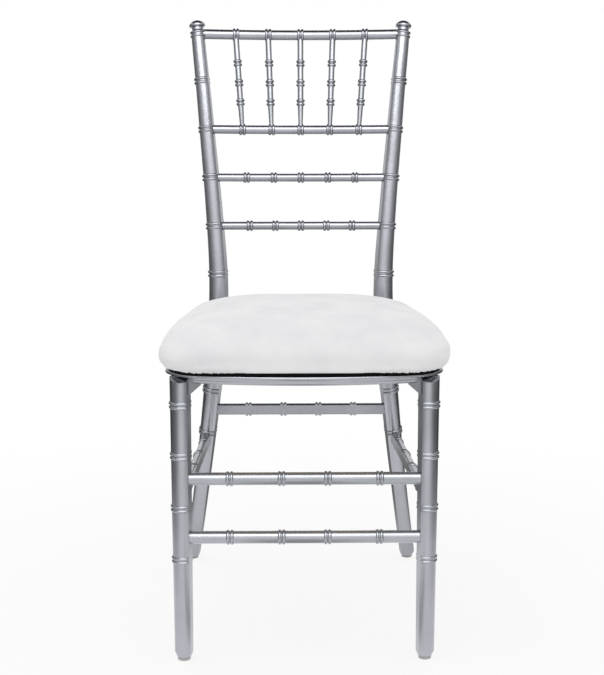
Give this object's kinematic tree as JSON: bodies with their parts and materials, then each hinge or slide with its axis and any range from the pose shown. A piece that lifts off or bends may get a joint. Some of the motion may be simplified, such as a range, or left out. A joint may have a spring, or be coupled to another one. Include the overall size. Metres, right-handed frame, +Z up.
{
  "type": "chiavari chair",
  "caption": "slim turned side chair with double-ringed legs and posts, fanned spindle back, stretchers and a crowned loose seat cushion",
  "frame": {"origin": "on the floor, under the middle of the chair's overall box", "axes": "+X to the viewer's right when facing the chair's front, +Y to the back of the chair, +Z up"},
  "size_m": [0.4114, 0.5105, 0.9249],
  "materials": {
    "silver_lacquered_wood": "turned hardwood under a silver metallic lacquer",
    "plywood": "sealed birch plywood",
    "zinc_steel": "zinc-plated steel",
    "glide_plastic": "grey nylon",
    "hook_and_loop_tape": "black hook-and-loop tape",
    "black_board": "black painted board",
    "foam": null,
    "white_cloth": "plain white woven cover"
  },
  "bodies": {
    "chair_frame": {"front_leg_left": "silver_lacquered_wood", "front_leg_right": "silver_lacquered_wood", "rear_post_left": "silver_lacquered_wood", "rear_post_right": "silver_lacquered_wood", "top_rail": "silver_lacquered_wood", "back_rail_upper": "silver_lacquered_wood", "back_rail_middle": "silver_lacquered_wood", "back_rail_lower": "silver_lacquered_wood", "spindle_1": "silver_lacquered_wood", "spindle_2": "silver_lacquered_wood", "spindle_3": "silver_lacquered_wood", "spindle_4": "silver_lacquered_wood", "spindle_5": "silver_lacquered_wood", "front_stretcher_upper": "silver_lacquered_wood", "front_stretcher_lower": "silver_lacquered_wood", "side_stretcher_left": "silver_lacquered_wood", "side_stretcher_right": "silver_lacquered_wood", "rear_stretcher": "silver_lacquered_wood", "seat_rail_front": "silver_lacquered_wood", "seat_rail_rear": "silver_lacquered_wood", "seat_rail_left": "silver_lacquered_wood", "seat_rail_right": "silver_lacquered_wood", "leg_brace_left": "silver_lacquered_wood", "leg_brace_right": "silver_lacquered_wood", "seat_panel": "plywood", "panel_screws": "zinc_steel", "leg_screws": "zinc_steel", "post_bolts": "zinc_steel", "barrel_nuts": "zinc_steel", "brace_screws": "zinc_steel", "glide_nails": "zinc_steel", "glide_front_left": "glide_plastic", "glide_front_right": "glide_plastic", "glide_rear_left": "glide_plastic", "glide_rear_right": "glide_plastic", "seat_loop_pads": "hook_and_loop_tape"},
    "cushion": {"cushion_board": "black_board", "cushion_foam": "foam", "cushion_cover": "white_cloth", "cushion_hook_pads": "hook_and_loop_tape"}
  },
  "joints": [
    {"name": "cushion_lift", "type": "slide", "parent": "chair_frame", "child": "cushion", "axis": [0, 0, 1], "range_m": [0, 0.12]}
  ]
}
